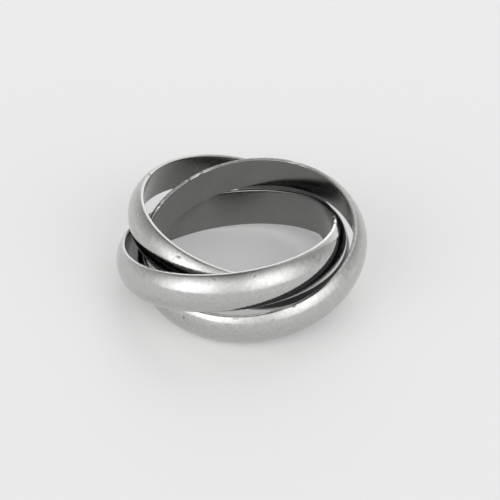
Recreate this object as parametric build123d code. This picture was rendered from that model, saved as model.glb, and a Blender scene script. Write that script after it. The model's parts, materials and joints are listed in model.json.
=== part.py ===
"""Rolling ring: three plain bands of the same size, each linked through the other two.

The bands are loose. Laid on a table they slide apart into a low open rosette: each band leans
its own way, touches the table at one place, and leans on both of the others. Every band is one
solid, and they are placed here as they come to rest. Millimetres and degrees, +Z up, with the
origin on the table below the middle of the three.
"""

import math
import os

import numpy as np
from build123d import *

# One band: flat inside, two flat side faces, and a domed outside
inner_diameter = 18.8
band_width = 3.5
band_thickness = 1.05
side_face = 0.30
edge_rounding = 0.08

# Left between two bands where one leans on the other
contact_gap = 0.06

# How each band lies: the lean of its axis from upright and the compass direction of that lean,
# counted from +X towards +Y, then its middle's place as shares of the inner radius. settle()
# starts from these and moves the bands by no more than they need to meet.
RESTING_BANDS = (
    {"name": "left_band", "lean": 13.1, "towards": 6.4, "right": -0.119, "back": 0.328},
    {"name": "front_band", "lean": 14.9, "towards": 122.8, "right": -0.195, "back": -0.021},
    {"name": "outer_band", "lean": 14.6, "towards": -127.7, "right": 0.0, "back": 0.0},
)

# Samples along the dome and a rounded corner of the section, and round a band, coarse and fine
DOME_STEPS = 12
CORNER_STEPS = 3
TURN_STEPS = 90
FINE_STEPS = 24

# The search for the resting places, which stops when the gaps are this near to contact_gap
TRIAL_STEP = 1e-4
LONGEST_STEP = 0.03
MOST_ROUNDS = 30
NEAR_ENOUGH_SHARE = 0.01

inner_radius = inner_diameter / 2


def band_section():
    """The band's section, drawn in the XZ plane to the right of the band's axis."""
    half_width = band_width / 2
    shoulder = inner_radius + side_face
    crown = inner_radius + band_thickness
    with BuildSketch(Plane.XZ) as section:
        with BuildLine():
            Polyline(
                (shoulder, -half_width),
                (inner_radius, -half_width),
                (inner_radius, half_width),
                (shoulder, half_width),
            )
            ThreePointArc((shoulder, half_width), (crown, 0), (shoulder, -half_width))
        make_face()
        fillet(section.vertices(), edge_rounding)
    return section.sketch.face()


def section_outline(section):
    """The section's outline in order, as rows of distance from the axis and height along it."""
    middle = section.center()
    points = []
    for edge in section.edges():
        if edge.geom_type == GeomType.LINE:
            steps = 1
        elif edge.length > band_width / 2:
            steps = DOME_STEPS
        else:
            steps = CORNER_STEPS
        points += [edge @ (i / steps) for i in range(steps + 1)]
    rows = np.unique(np.round([(p.X, p.Z) for p in points], 7), axis=0)
    around = np.arctan2(rows[:, 1] - middle.Z, rows[:, 0] - middle.X)
    return rows[np.argsort(around)]


def square_to(axis):
    """Two directions square to the axis, the first of them level."""
    level = np.cross((0.0, 0.0, 1.0), axis)
    level /= np.linalg.norm(level)
    return level, np.cross(axis, level)


def surface_points(outline, centre, axis, turns):
    """Points on a band: a row for each turn round its axis, a column for each outline point."""
    level, steep = square_to(axis)
    outward = np.outer(np.cos(turns), level) + np.outer(np.sin(turns), steep)
    return centre + outline[:, 0, None] * outward[:, None, :] + outline[:, 1, None] * axis


def depth_outside(points, outline, centre, axis):
    """How far each point is outside a band, and below zero inside it."""
    away = points - centre
    height = away @ axis
    radius = np.sqrt(np.maximum((away * away).sum(-1) - height**2, 0))
    from_corners = np.stack([radius, height], -1)[..., None, :] - outline
    run = np.roll(outline, -1, 0) - outline
    share = np.clip((from_corners * run).sum(-1) / (run * run).sum(-1), 0, 1)
    nearest = np.linalg.norm(from_corners - share[..., None] * run, axis=-1).min(-1)
    side = run[:, 0] * from_corners[..., 1] - run[:, 1] * from_corners[..., 0]
    return np.where((side > 0).all(-1), -nearest, nearest)


def one_way_gap(outline, here, there):
    """The least distance of one band's surface from another band, coarsely and then finely."""
    turns, stride = np.linspace(0, 2 * math.pi, TURN_STEPS, endpoint=False, retstep=True)
    coarse = depth_outside(surface_points(outline, *here, turns), outline, *there)
    best = turns[coarse.min(1).argmin()]
    turns = best + np.linspace(-stride, stride, FINE_STEPS)
    return depth_outside(surface_points(outline, *here, turns), outline, *there).min()


def lowest_reach(outline, axis):
    """How far a leaning band reaches below its middle."""
    lean_share = math.hypot(axis[0], axis[1])
    return (outline[:, 0] * lean_share + np.abs(outline[:, 1]) * axis[2]).max()


def poses_from(unknowns, outline):
    """Each band's middle and axis, with every band standing on the table."""
    poses = []
    for lean_x, lean_y, right, back in unknowns.reshape(-1, 4):
        axis = np.array([lean_x, lean_y, math.sqrt(1 - lean_x**2 - lean_y**2)])
        height = lowest_reach(outline, axis)
        poses.append((np.array([right * inner_radius, back * inner_radius, height]), axis))
    return poses


def gap_misses(unknowns, outline):
    """How far each pair of bands is from being contact_gap apart."""
    poses = poses_from(unknowns, outline)
    misses = []
    for i, band in enumerate(poses):
        for other in poses[:i]:
            gap = min(one_way_gap(outline, band, other), one_way_gap(outline, other, band))
            misses.append(gap - contact_gap)
    return np.array(misses)


def settle(outline):
    """Moves the bands by the least that leaves contact_gap between each pair."""
    start = []
    for band in RESTING_BANDS:
        lean = math.sin(math.radians(band["lean"]))
        towards = math.radians(band["towards"])
        start += [lean * math.cos(towards), lean * math.sin(towards), band["right"], band["back"]]
    unknowns = np.array(start)
    trials = TRIAL_STEP * np.eye(len(unknowns))
    for _ in range(MOST_ROUNDS):
        miss = gap_misses(unknowns, outline)
        if np.abs(miss).max() < NEAR_ENOUGH_SHARE * contact_gap:
            break
        changes = np.array([gap_misses(unknowns + trial, outline) - miss for trial in trials])
        slopes = changes.T / TRIAL_STEP
        move = slopes.T @ np.linalg.solve(slopes @ slopes.T, miss)
        unknowns -= move * min(1, LONGEST_STEP / np.abs(move).max())
    print("gaps between the bands", np.round(miss + contact_gap, 4))
    return poses_from(unknowns, outline)


def centred(poses, outline):
    """The same poses with the middle of their common box above the origin."""
    middles = np.array([centre[:2] for centre, _ in poses])
    tilts = np.array([axis[:2] for _, axis in poses])[:, :, None]
    reaches = (outline[:, 0] * np.sqrt(1 - tilts**2) + np.abs(outline[:, 1] * tilts)).max(-1)
    shift = ((middles - reaches).min(0) + (middles + reaches).max(0)) / 2
    return [(centre - (*shift, 0), axis) for centre, axis in poses]


section = band_section()
plain_band = revolve(section, Axis.Z, 360)
outline = section_outline(section)

os.makedirs("parts", exist_ok=True)
for band, (centre, axis) in zip(RESTING_BANDS, centred(settle(outline), outline)):
    level, _ = square_to(axis)
    seat = Plane(origin=tuple(centre), x_dir=tuple(level), z_dir=tuple(axis))
    export_step(seat.location * plain_band, f"parts/{band['name']}.step")
    print(band["name"], "middle", np.round(centre, 4), "axis", np.round(axis, 6))
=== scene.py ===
import json
import math

import bpy
import numpy as np
from mathutils import Matrix, Vector

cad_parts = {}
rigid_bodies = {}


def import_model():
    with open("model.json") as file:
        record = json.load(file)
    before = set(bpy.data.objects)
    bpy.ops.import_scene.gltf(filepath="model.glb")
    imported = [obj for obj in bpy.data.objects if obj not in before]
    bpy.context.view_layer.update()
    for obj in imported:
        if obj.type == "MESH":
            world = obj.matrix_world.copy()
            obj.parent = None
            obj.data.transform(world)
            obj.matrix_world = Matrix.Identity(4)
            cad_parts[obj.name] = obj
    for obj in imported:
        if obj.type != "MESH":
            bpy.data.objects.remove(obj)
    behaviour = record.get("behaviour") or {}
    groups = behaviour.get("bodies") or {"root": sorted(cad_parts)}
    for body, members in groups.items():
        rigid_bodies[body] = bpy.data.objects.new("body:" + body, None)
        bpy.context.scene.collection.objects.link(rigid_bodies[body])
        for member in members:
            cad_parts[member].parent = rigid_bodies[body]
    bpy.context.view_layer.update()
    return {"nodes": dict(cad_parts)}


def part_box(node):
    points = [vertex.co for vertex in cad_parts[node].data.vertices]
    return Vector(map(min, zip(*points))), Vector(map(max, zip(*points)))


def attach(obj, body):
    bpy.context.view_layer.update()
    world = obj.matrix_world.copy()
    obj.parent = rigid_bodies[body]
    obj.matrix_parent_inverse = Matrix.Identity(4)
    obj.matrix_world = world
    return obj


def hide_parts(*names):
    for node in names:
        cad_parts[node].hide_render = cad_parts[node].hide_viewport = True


for leftover in list(bpy.data.objects):
    bpy.data.objects.remove(leftover)

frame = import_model()
mm = 0.001

# The camera. It looks down at the ring from in front and above, from some way off through a long
# lens, and it is turned a little, as a hand-held one is.
looking_down = math.radians(36.02)
picture_turn = math.radians(1.52)
camera_distance = 155 * mm
lens_mm, sensor_mm = 118.1, 36.0
looked_at = Vector((0.79, 3.70, 0.0)) * mm

back = Vector((0, -math.cos(looking_down), math.sin(looking_down)))
level_up = Vector((0, math.sin(looking_down), math.cos(looking_down)))
right = math.cos(picture_turn) * Vector((1, 0, 0)) + math.sin(picture_turn) * level_up
up = back.cross(right)
camera_data = bpy.data.cameras.new("camera")
camera_data.lens = lens_mm
camera_data.sensor_width = sensor_mm
camera_data.clip_start = camera_distance / 100
camera = bpy.data.objects.new("camera", camera_data)
place = looked_at + back * camera_distance
camera.matrix_world = Matrix.Translation(place) @ Matrix((right, up, back)).transposed().to_4x4()
bpy.context.scene.collection.objects.link(camera)
bpy.context.scene.camera = camera
bpy.context.scene.view_settings.view_transform = "Standard"


# The three bands. Each is a ring of steel, turned flat inside and domed outside, with narrow flat
# side faces whose edges are rounded. They hold each other only by being linked.
band_sizes = {
    "Inner Radius": 9.4 * mm,
    "Width": 3.5 * mm,
    "Thickness": 1.05 * mm,
    "Side Face": 0.30 * mm,
    "Edge Rounding": 0.08 * mm,
    "Turn Steps": 800,
    "Dome Steps": 56,
    "Wall Steps": 14,
    "Corner Steps": 5,
}

# How each band is worn, and where shade and highlights are painted on it. A place on a band is its
# turn round it, in degrees from the front towards the right, and its height along the band's axis,
# in millimetres above its middle.
#   look      how much bluer the steel is, below what share of open sky it is painted dark, as
#             painted shade, and the level of grey of that painted shade
#   overhang  the stretch that lies close under another band, where shade is painted darkest:
#             whether it is above its edge, 1, or below it, -1, the turns at which it starts and ends, how
#             many degrees it fades over at either end, and three places that its edge runs through
#   nicks     each one's place, length, width, slant, depth and darkness
#   painted highlights, painted bright on stretches of the rims: each one's rim, 1 above and -1
#             below, its turn and reach, then how far it comes out from the inner wall and down from the
#             rim, and how much it shines
nick_columns = ("turn", "height", "length", "width", "slant", "depth", "dark")
highlight_columns = ("rim", "turn", "reach", "out", "down", "shine")
wear_and_painted_light = {
    "left_band": {
        "look": {"bluer": 0.0, "dark_below": 0.62, "shade": 0.03},
        "overhang": {
            "side": 1, "start": 0, "end": 108, "fade": 26,
            "edge": ((5, -2.0), (44, 0.2), (95, 1.3)),
        },
        "nicks": (
            (-33.6, 1.30, 0.42, 0.16, 10, 0.035, 1.0),
            (-35.6, 0.95, 0.75, 0.07, 70, 0.012, 0.7),
            (-37.6, 0.50, 0.35, 0.06, 40, 0.008, 0.5),
            (-109.6, 1.75, 0.30, 0.12, 0, 0.030, 0.8),
            (-28.0, -0.20, 0.20, 0.10, 0, 0.010, 0.6),
            # This row is no nick: it has no depth, and only paints a long stretch of the top rim at the
            # back darker
            (-178.0, 1.75, 9.00, 0.50, 0, 0.000, 0.6),
        ),
        "painted_highlights": (
            (1, -55, 55, 0.17, 0.00, 0.60),
            (-1, 45, 60, 1.10, 0.05, 0.45),
        ),
    },
    "front_band": {
        "look": {"bluer": 0.012, "dark_below": 0.60, "shade": 0.12},
        "overhang": {
            "side": -1, "start": -14, "end": 128, "fade": 18,
            "edge": ((0, -1.45), (42, -0.26), (78, 1.60)),
        },
        "nicks": (
            (13.9, 1.36, 0.32, 0.10, 20, 0.015, 0.7),
            (43.1, 0.32, 0.30, 0.10, -15, 0.015, 0.5),
            (51.9, 0.91, 0.60, 0.14, 25, 0.020, 0.6),
            (48.6, 1.28, 0.25, 0.10, 60, 0.015, 0.6),
            (-42.5, -0.68, 0.22, 0.12, 0, 0.015, 0.6),
            (-35.9, -0.60, 0.22, 0.12, 0, 0.015, 0.5),
            (-6.0, 1.48, 0.18, 0.10, 0, 0.012, 0.8),
        ),
        "painted_highlights": (
            (1, 20, 75, 0.17, 0.00, 0.7),
            (1, 82, 24, 1.10, 0.50, 1.0),
            (1, 178, 14, 0.20, 0.04, 0.5),
            (-1, 50, 32, 1.10, 0.16, 0.8),
            (-1, 90, 45, 1.10, 1.62, 0.9),
        ),
    },
    "outer_band": {
        "look": {"bluer": 0.0, "dark_below": 0.25, "shade": 0.06},
        "overhang": None,
        "nicks": (
            (-34.4, 0.92, 0.26, 0.22, 0, 0.030, 1.0),
            (-31.3, 0.53, 0.14, 0.12, 0, 0.015, 0.9),
            (-5.3, 1.67, 0.60, 0.08, 3, 0.020, 0.9),
            (12.4, 1.22, 0.40, 0.10, 12, 0.012, 0.5),
            (18.3, -1.43, 0.40, 0.16, 0, 0.015, 0.7),
            (24.6, 1.74, 0.35, 0.12, 0, 0.030, 0.4),
            (-119.0, 1.75, 0.36, 0.20, 0, 0.035, 0.0),
            (-150.3, 1.75, 0.50, 0.14, 0, 0.025, 0.0),
            (-142.5, 1.75, 0.30, 0.14, 0, 0.030, 0.6),
            (152.0, 1.75, 0.60, 0.14, 0, 0.025, 0.0),
            # This row is no nick: it has no depth, and only paints a long stretch of the top rim at the
            # back darker
            (180.0, 1.75, 26.00, 0.50, 0, 0.000, 0.3),
        ),
        "painted_highlights": (
            (1, -150, 7, 0.30, 0.03, 0.8),
            (1, -119, 4, 0.30, 0.05, 0.9),
            (1, 152, 6, 0.30, 0.03, 0.7),
            (1, 25, 16, 0.30, 0.00, 0.6),
        ),
    },
}
marks_apart = 40.0


class Wire:
    """A socket of a node tree. Sums, products and comparisons of wires add Math nodes."""

    def __init__(self, tree, socket):
        self.tree = tree
        self.socket = socket

    def math(self, operation, second=None, swapped=False):
        node = self.tree.nodes.new("ShaderNodeMath")
        node.operation = operation
        pair = (second, self) if swapped else (self, second)
        for value, socket in zip(pair, node.inputs):
            if isinstance(value, Wire):
                self.tree.links.new(value.socket, socket)
            elif value is not None:
                socket.default_value = value
        return Wire(self.tree, node.outputs[0])

    def __add__(self, other):
        return self.math("ADD", other)

    def __radd__(self, other):
        return self.math("ADD", other, swapped=True)

    def __sub__(self, other):
        return self.math("SUBTRACT", other)

    def __rsub__(self, other):
        return self.math("SUBTRACT", other, swapped=True)

    def __mul__(self, other):
        return self.math("MULTIPLY", other)

    def __rmul__(self, other):
        return self.math("MULTIPLY", other, swapped=True)

    def __truediv__(self, other):
        return self.math("DIVIDE", other)

    def __rtruediv__(self, other):
        return self.math("DIVIDE", other, swapped=True)

    def __lt__(self, other):
        return self.math("LESS_THAN", other)

    def __gt__(self, other):
        return self.math("GREATER_THAN", other)

    def between_0_and_1(self):
        return self.math("MAXIMUM", 0.0).math("MINIMUM", 1.0)


class Bench:
    """A node tree. add() makes a node: its settings first, then its sockets' values or wires."""

    def __init__(self, tree):
        self.tree = tree

    def add(self, kind, settings=None, sockets=None):
        node = self.tree.nodes.new(kind)
        for name, value in (settings or {}).items():
            setattr(node, name, value)
        for name, value in (sockets or {}).items():
            wires = value if isinstance(value, list) else [value]
            for wire in wires:
                if isinstance(wire, Wire):
                    self.tree.links.new(wire.socket, node.inputs[name])
                else:
                    node.inputs[name].default_value = wire
        return node

    def wire(self, node, output=0):
        return Wire(self.tree, node.outputs[output])

    def make(self, kind, settings=None, sockets=None, output=0):
        return self.wire(self.add(kind, settings, sockets), output)


def band_tree():
    """The nodes that draw a band's section and sweep it round a circle."""
    tree = bpy.data.node_groups.new("band", "GeometryNodeTree")
    for name, kind in {
        "Inner Radius": "NodeSocketFloat",
        "Width": "NodeSocketFloat",
        "Thickness": "NodeSocketFloat",
        "Side Face": "NodeSocketFloat",
        "Edge Rounding": "NodeSocketFloat",
        "Turn Steps": "NodeSocketInt",
        "Dome Steps": "NodeSocketInt",
        "Wall Steps": "NodeSocketInt",
        "Corner Steps": "NodeSocketInt",
        "Middle": "NodeSocketVector",
        "Lean": "NodeSocketRotation",
        "Metal": "NodeSocketMaterial",
    }.items():
        tree.interface.new_socket(name=name, in_out="INPUT", socket_type=kind)
    tree.interface.new_socket(name="Band", in_out="OUTPUT", socket_type="NodeSocketGeometry")
    bench = Bench(tree)
    given = tree.nodes.new("NodeGroupInput")
    half_width = bench.wire(given, "Width") * 0.5
    side_face = bench.wire(given, "Side Face")
    dome_steps = bench.wire(given, "Dome Steps")
    wall_steps = bench.wire(given, "Wall Steps")

    def point(x, y):
        return bench.make("ShaderNodeCombineXYZ", None, {"X": x, "Y": y})

    # The section stands with its inner wall on the path and its dome outwards
    dome = bench.make("GeometryNodeCurveArc", {"mode": "POINTS"}, {
        "Resolution": dome_steps,
        "Start": point(side_face, 0.0 - half_width),
        "Middle": point(bench.wire(given, "Thickness"), 0.0),
        "End": point(side_face, half_width),
    })
    dome_points = bench.make("GeometryNodeCurveToPoints", {"mode": "EVALUATED"}, {"Curve": dome})
    index = bench.make("GeometryNodeInputIndex")
    along_wall = half_width - bench.wire(given, "Width") * index / (wall_steps - 1.0)
    wall_points = bench.make("GeometryNodePoints", None, {
        "Count": wall_steps,
        "Position": point(0.0, along_wall),
    })
    outline_points = bench.make("GeometryNodeJoinGeometry", None, {
        "Geometry": [wall_points, dome_points],
    })
    outline = bench.make("GeometryNodePointsToCurves", None, {"Points": outline_points})
    outline = bench.make("GeometryNodeSetSplineCyclic", None, {"Geometry": outline, "Cyclic": True})
    # The dome's points come first, so the four corners are its ends and then the wall's
    at_corner = (index < 0.5) + (index > dome_steps + wall_steps - 1.5)
    at_corner = at_corner + (index > dome_steps - 1.5) * (index < dome_steps + 0.5)
    outline = bench.make("GeometryNodeFilletCurve", {"mode": "POLY"}, {
        "Curve": outline,
        "Count": bench.wire(given, "Corner Steps"),
        "Radius": bench.wire(given, "Edge Rounding") * at_corner,
        "Limit Radius": True,
    })
    path = bench.make("GeometryNodeCurvePrimitiveCircle", None, {
        "Resolution": bench.wire(given, "Turn Steps"),
        "Radius": bench.wire(given, "Inner Radius"),
    })
    band = bench.make("GeometryNodeCurveToMesh", None, {"Curve": path, "Profile Curve": outline})
    band = bench.make("GeometryNodeTransform", None, {
        "Geometry": band,
        "Translation": bench.wire(given, "Middle"),
        "Rotation": bench.wire(given, "Lean"),
    })
    band = bench.make("GeometryNodeRealizeInstances", None, {"Geometry": band})
    band = bench.make("GeometryNodeSetMaterial", None, {
        "Geometry": band,
        "Material": bench.wire(given, "Metal"),
    })
    result = tree.nodes.new("NodeGroupOutput")
    tree.links.new(band.socket, result.inputs["Band"])
    return tree


def points_of(mesh):
    """The mesh's points, as rows of three."""
    places = np.empty(len(mesh.vertices) * 3)
    mesh.vertices.foreach_get("co", places)
    return places.reshape(-1, 3)


def lie_of(node):
    """Where a band lies: its box's middle, and the way that its points spread least, its axis."""
    low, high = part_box(node.name)
    middle = (low + high) / 2
    from_middle = points_of(node.data) - np.array(middle)
    axis = Vector(np.linalg.svd(from_middle, full_matrices=False)[2][2])
    return middle, axis * math.copysign(1, axis.z)


def worn_steel_with_painted_light(name, middle, lean, apart, look):
    """The bands' metal: polished along the band, then dulled, scratched and spotted by wear.

    Its marks are laid out round the band's own axis, in millimetres, and apart moves them on, so
    that no two bands are marked alike. The mesh says where it is nicked and where highlights and
    shade are painted on it, and painted shade also darkens it near other bands and on its inner wall.
    """
    material = bpy.data.materials.new(name)
    material.use_nodes = True
    shader = material.node_tree.nodes["Principled BSDF"]
    shader.inputs["Metallic"].default_value = 1.0
    bench = Bench(material.node_tree)
    here = bench.make("ShaderNodeTexCoord", output="Object")
    here = bench.make("ShaderNodeMapping", {"vector_type": "TEXTURE"}, {
        "Vector": here, "Location": middle, "Rotation": lean, "Scale": (mm, mm, mm),
    })
    split = bench.add("ShaderNodeSeparateXYZ", None, {"Vector": here})
    x, y, z = (bench.wire(split, axis) for axis in "XYZ")
    from_axis = (x * x + y * y).math("SQRT")
    across_section = z + from_axis

    def marked(attribute):
        return bench.make("ShaderNodeAttribute", {"attribute_name": attribute}, output="Fac")

    def grain(along, across, detail, shift):
        """Noise drawn out along the band, with so many features to the millimetre each way."""
        spot = bench.make("ShaderNodeCombineXYZ", None, {
            "X": x * along, "Y": y * along, "Z": across_section * across + (apart + shift),
        })
        return bench.make("ShaderNodeTexNoise", None, {
            "Vector": spot, "Scale": 1.0, "Detail": detail, "Roughness": 0.55,
        })

    def hairlines(turned, long, fine, width, shift):
        """Thin scratches, where drawn-out noise crosses its middle value."""
        spot = bench.make("ShaderNodeMapping", None, {
            "Vector": here, "Rotation": turned, "Scale": (long, fine, fine),
            "Location": (apart + shift, shift, apart),
        })
        noise = bench.make("ShaderNodeTexNoise", None, {"Vector": spot, "Scale": 1.0, "Detail": 1.0})
        off_middle = (noise - 0.5).math("ABSOLUTE")
        return (1.0 - off_middle / width).math("MAXIMUM", 0.0)

    def steel(level):
        """The steel's colour at a brightness: a touch warmer than grey."""
        return (level * 1.008, level, level * (0.972 + look["bluer"]), 1)

    def blend(share, first, second):
        """A colour that goes from the first to the second."""
        return bench.make("ShaderNodeMix", {"data_type": "RGBA"}, {
            "Factor": share, "A": first, "B": second,
        }, output=2)

    polishing = grain(along=0.5, across=7.0, detail=3.0, shift=0.0)
    unevenness = grain(along=0.35, across=0.9, detail=1.0, shift=5.0)
    smudges = grain(along=0.5, across=0.5, detail=4.0, shift=11.0)
    speckle = grain(along=4.0, across=7.0, detail=2.0, shift=17.0)
    mottle = grain(along=2.2, across=3.2, detail=3.0, shift=29.0)
    fine_grain = grain(along=4.6, across=5.4, detail=1.0, shift=37.0)
    # Specks are the few places where the finest grain peaks
    specks = ((fine_grain - 0.75) / 0.03).between_0_and_1()
    scratches = 0.0
    for turned, shift in (
        ((0.3, 0.9, 0.4), 3.0),
        ((1.1, 0.2, 2.2), 7.0),
        ((0.1, 1.4, 1.3), 13.0),
    ):
        scratches = scratches + hairlines(turned, long=0.25, fine=3.0, width=0.012, shift=shift)
    # The flat inner wall, up to the start of its rounded edges
    wall_edge = band_sizes["Inner Radius"] / mm + 0.06
    inside = ((wall_edge - from_axis) / 0.05).between_0_and_1()
    outside = 1.0 - inside
    nicked = marked("nicked")
    sheltered = marked("sheltered")

    def depth(more_outside, everywhere):
        """How deep a mark is, in millimetres: the dome takes more wear than the inner wall."""
        return outside * more_outside + everywhere

    height = (
        polishing * depth(0.0006, 0.0001)
        + unevenness * depth(0.004, 0.002)
        + mottle * depth(0.009, 0.0)
        + speckle * depth(0.002, 0.0001)
        - scratches * depth(0.0008, 0.0001)
        - specks * 0.002
    )
    bump = bench.make("ShaderNodeBump", None, {"Height": height, "Distance": mm, "Strength": 1.0}, "Normal")
    polished = 0.06
    roughness = (
        polished + smudges * 0.04 + speckle * 0.03 + scratches * 0.08 + inside * 0.10 + nicked * 0.3
    )

    # Bare metal: smudged and here and there tarnished outside. The inner wall is duller, and its
    # colour is painted much darker, as painted shade
    tarnish = ((mottle + speckle - 1.0) * 2.2 + 0.5).between_0_and_1()
    colour = blend(tarnish, steel(0.48), blend(smudges, steel(0.49), steel(0.61)))
    colour = blend(inside, colour, blend(smudges, steel(0.22), steel(0.285)))

    def where_shade_painted(there, elsewhere):
        """One number on the stretch where shade is painted darkest, and another elsewhere."""
        return sheltered * (there - elsewhere) + elsewhere

    # Painted shade: the colour is painted dark where another band lies close over the metal
    open_sky = bench.make("ShaderNodeAmbientOcclusion", {"samples": 48}, {
        "Distance": where_shade_painted(5.0 * mm, 2.7 * mm),
    }, "AO")
    daylight = bench.make("ShaderNodeMapRange", None, {
        "Value": open_sky,
        "From Min": where_shade_painted(0.985, look["dark_below"]),
        "From Max": where_shade_painted(0.9995, look["dark_below"] + 0.12),
    })
    painted_crevice_shade = blend(open_sky, steel(look["shade"]), steel(0.015))
    colour = blend(outside * (1.0 - daylight), colour, blend(sheltered, steel(0.09), painted_crevice_shade))

    # Painted highlights: stretches of the rims are painted bright. Dirt sits in the nicks and specks
    colour = blend(marked("worn_bright"), colour, steel(0.85))
    dirt = (specks * 0.5 + nicked).math("MINIMUM", 1.0) * 0.8
    colour = blend(dirt, colour, steel(0.10))
    for wire, socket in ((bump, "Normal"), (roughness, "Roughness"), (colour, "Base Color")):
        material.node_tree.links.new(wire.socket, shader.inputs[socket])
    return material


def wear_down_and_mark_painted_light(mesh, middle, axis, worn_and_painted_light):
    """Presses the nicks into a band and makes its rims a little uneven.

    It also marks the mesh for its metal: where it is nicked, where highlights are painted, and
    where shade is painted under the band that lies over it. All of it is in millimetres and
    degrees, as in the table of wear and painted light.
    """
    rim = band_sizes["Width"] / mm / 2
    wall = band_sizes["Inner Radius"] / mm
    near_rim, soft_edge = 0.1, 0.05
    nicks_start, highlights_start = wall + 0.02, wall + 0.01
    away = (points_of(mesh) - np.array(middle)) / mm
    up = np.array(axis)
    height = away @ up
    outward = away - height[:, None] * up
    radius = np.linalg.norm(outward, axis=1)
    outward /= radius[:, None]
    turn = np.degrees(np.arctan2(outward[:, 0], -outward[:, 1]))

    nicked = np.zeros(len(radius))
    for row in worn_and_painted_light["nicks"]:
        nick = dict(zip(nick_columns, row))
        ahead = (turn - nick["turn"] + 180) % 360 - 180
        along, above = np.radians(ahead) * radius, height - nick["height"]
        slant = math.radians(nick["slant"])
        lengthwise = (along * math.cos(slant) + above * math.sin(slant)) / (nick["length"] / 2)
        crosswise = (above * math.cos(slant) - along * math.sin(slant)) / (nick["width"] / 2)
        pressed = np.exp(-(lengthwise**4 + crosswise**2)) * (radius > nicks_start)
        # A nick in the rim goes down into its edge as well as inwards
        on_rim = abs(nick["height"]) > rim - near_rim
        into = outward + up * on_rim * np.sign(nick["height"])
        away -= (pressed * nick["depth"])[:, None] * into
        nicked = np.maximum(nicked, pressed * nick["dark"])

    worn_bright = np.zeros(len(radius))
    for row in worn_and_painted_light["painted_highlights"]:
        highlight = dict(zip(highlight_columns, row))
        ahead = ((turn - highlight["turn"] + 180) % 360 - 180) / highlight["reach"]
        down = soft_edge + highlight["down"] * np.exp(-ahead**2)
        past = height * highlight["rim"] - (rim - down)
        shine = np.clip(past / soft_edge + 0.5, 0, 1) * highlight["shine"] * np.exp(-ahead**4)
        highlight_here = (radius > highlights_start) & (radius < wall + highlight["out"])
        worn_bright = np.maximum(worn_bright, shine * highlight_here)

    # The rims are a little uneven, in waves of several lengths
    waves_round, deepest_wave = (5, 13, 29, 61, 97), 0.024
    around = np.radians(turn)
    wander = sum(np.cos(n * around + n * n) for n in waves_round) / len(waves_round)
    sunk = (wander + 1) / 2 * deepest_wave * np.sign(height) * (np.abs(height) > rim - near_rim)
    away -= sunk[:, None] * up
    mesh.vertices.foreach_set("co", (away * mm + np.array(middle)).ravel())

    sheltered = np.zeros(len(radius))
    overhang = worn_and_painted_light["overhang"]
    if overhang:
        edge = np.polyval(np.polyfit(*zip(*overhang["edge"]), 2), turn)
        from_ends = np.minimum(turn - overhang["start"], overhang["end"] - turn)
        under = (height - edge) * overhang["side"] > 0
        sheltered = under * np.clip(from_ends / overhang["fade"], 0, 1)
    for name, values in (("nicked", nicked), ("worn_bright", worn_bright), ("sheltered", sheltered)):
        mesh.attributes.new(name, "FLOAT", "POINT").data.foreach_set("value", values)


tree = band_tree()
for number, (name, worn_and_painted_light) in enumerate(wear_and_painted_light.items()):
    middle, axis = lie_of(frame["nodes"][name])
    lean = axis.to_track_quat("Z", "Y").to_euler()
    metal = worn_steel_with_painted_light(name + "_steel", middle, lean, marks_apart * number, worn_and_painted_light["look"])
    asked = {**band_sizes, "Middle": middle, "Lean": lean, "Metal": metal}
    blank = bpy.data.objects.new("blank", bpy.data.meshes.new("blank"))
    bpy.context.scene.collection.objects.link(blank)
    sweep = blank.modifiers.new("band", "NODES")
    sweep.node_group = tree
    for item in tree.interface.items_tree:
        if item.in_out == "INPUT":
            sweep[item.identifier] = asked[item.name]
    shown = blank.evaluated_get(bpy.context.evaluated_depsgraph_get())
    mesh = bpy.data.meshes.new_from_object(shown)
    bpy.data.objects.remove(blank)
    wear_down_and_mark_painted_light(mesh, middle, axis, worn_and_painted_light)
    for polygon in mesh.polygons:
        polygon.use_smooth = True
    band = bpy.data.objects.new(name + "_worn", mesh)
    bpy.context.scene.collection.objects.link(band)
    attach(band, name)
    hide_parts(name)

# The table and the studio. The ring lies on a matt white sheet. Most of the light comes from low
# down all round and from four large soft lamps, and little from overhead.
sheet_looks = {
    "Base Color": (0.74, 0.74, 0.735, 1),
    "Emission Color": (1, 1, 1, 1),
    "Emission Strength": 0.165,
    "Roughness": 0.8,
}
level_light, overhead_light = 0.778, 0.113
# Each lamp's direction, in degrees from the front towards the right, its height in degrees, its
# strength, and how sharply it falls off
lamps = (
    (-44, 23, 1.82, 6.9),
    (40, 31, 1.58, 6.3),
    (159, 54, 1.33, 12.0),
    (-179, 18, 0.70, 12.0),
)
bpy.ops.mesh.primitive_plane_add(size=4)
table = bpy.context.object
table.name = "table"
white = bpy.data.materials.new("white_sheet")
white.use_nodes = True
for socket, value in sheet_looks.items():
    white.node_tree.nodes["Principled BSDF"].inputs[socket].default_value = value
table.data.materials.append(white)
# The sheet casts no shadow, so the painted shade on the bands takes no account of it
table.visible_shadow = False

world = bpy.data.worlds.new("studio")
world.use_nodes = True
studio = Bench(world.node_tree)
seen = studio.make("ShaderNodeTexCoord", output="Generated")
upward = studio.make("ShaderNodeSeparateXYZ", None, {"Vector": seen}, "Z").math("MAXIMUM", 0.0)
light = level_light - upward * (level_light - overhead_light)
for from_front, height, strength, sharpness in lamps:
    turned, raised = math.radians(from_front), math.radians(height)
    towards_lamp = (
        math.cos(raised) * math.sin(turned),
        -math.cos(raised) * math.cos(turned),
        math.sin(raised),
    )
    facing = studio.make("ShaderNodeVectorMath", {"operation": "DOT_PRODUCT"}, {
        0: seen, 1: towards_lamp,
    }, "Value")
    light = light + facing.math("MAXIMUM", 0.0).math("POWER", sharpness) * strength
# No light comes from below the table
light = light * (upward > 0.0)
world.node_tree.links.new(light.socket, world.node_tree.nodes["Background"].inputs["Color"])
bpy.context.scene.world = world
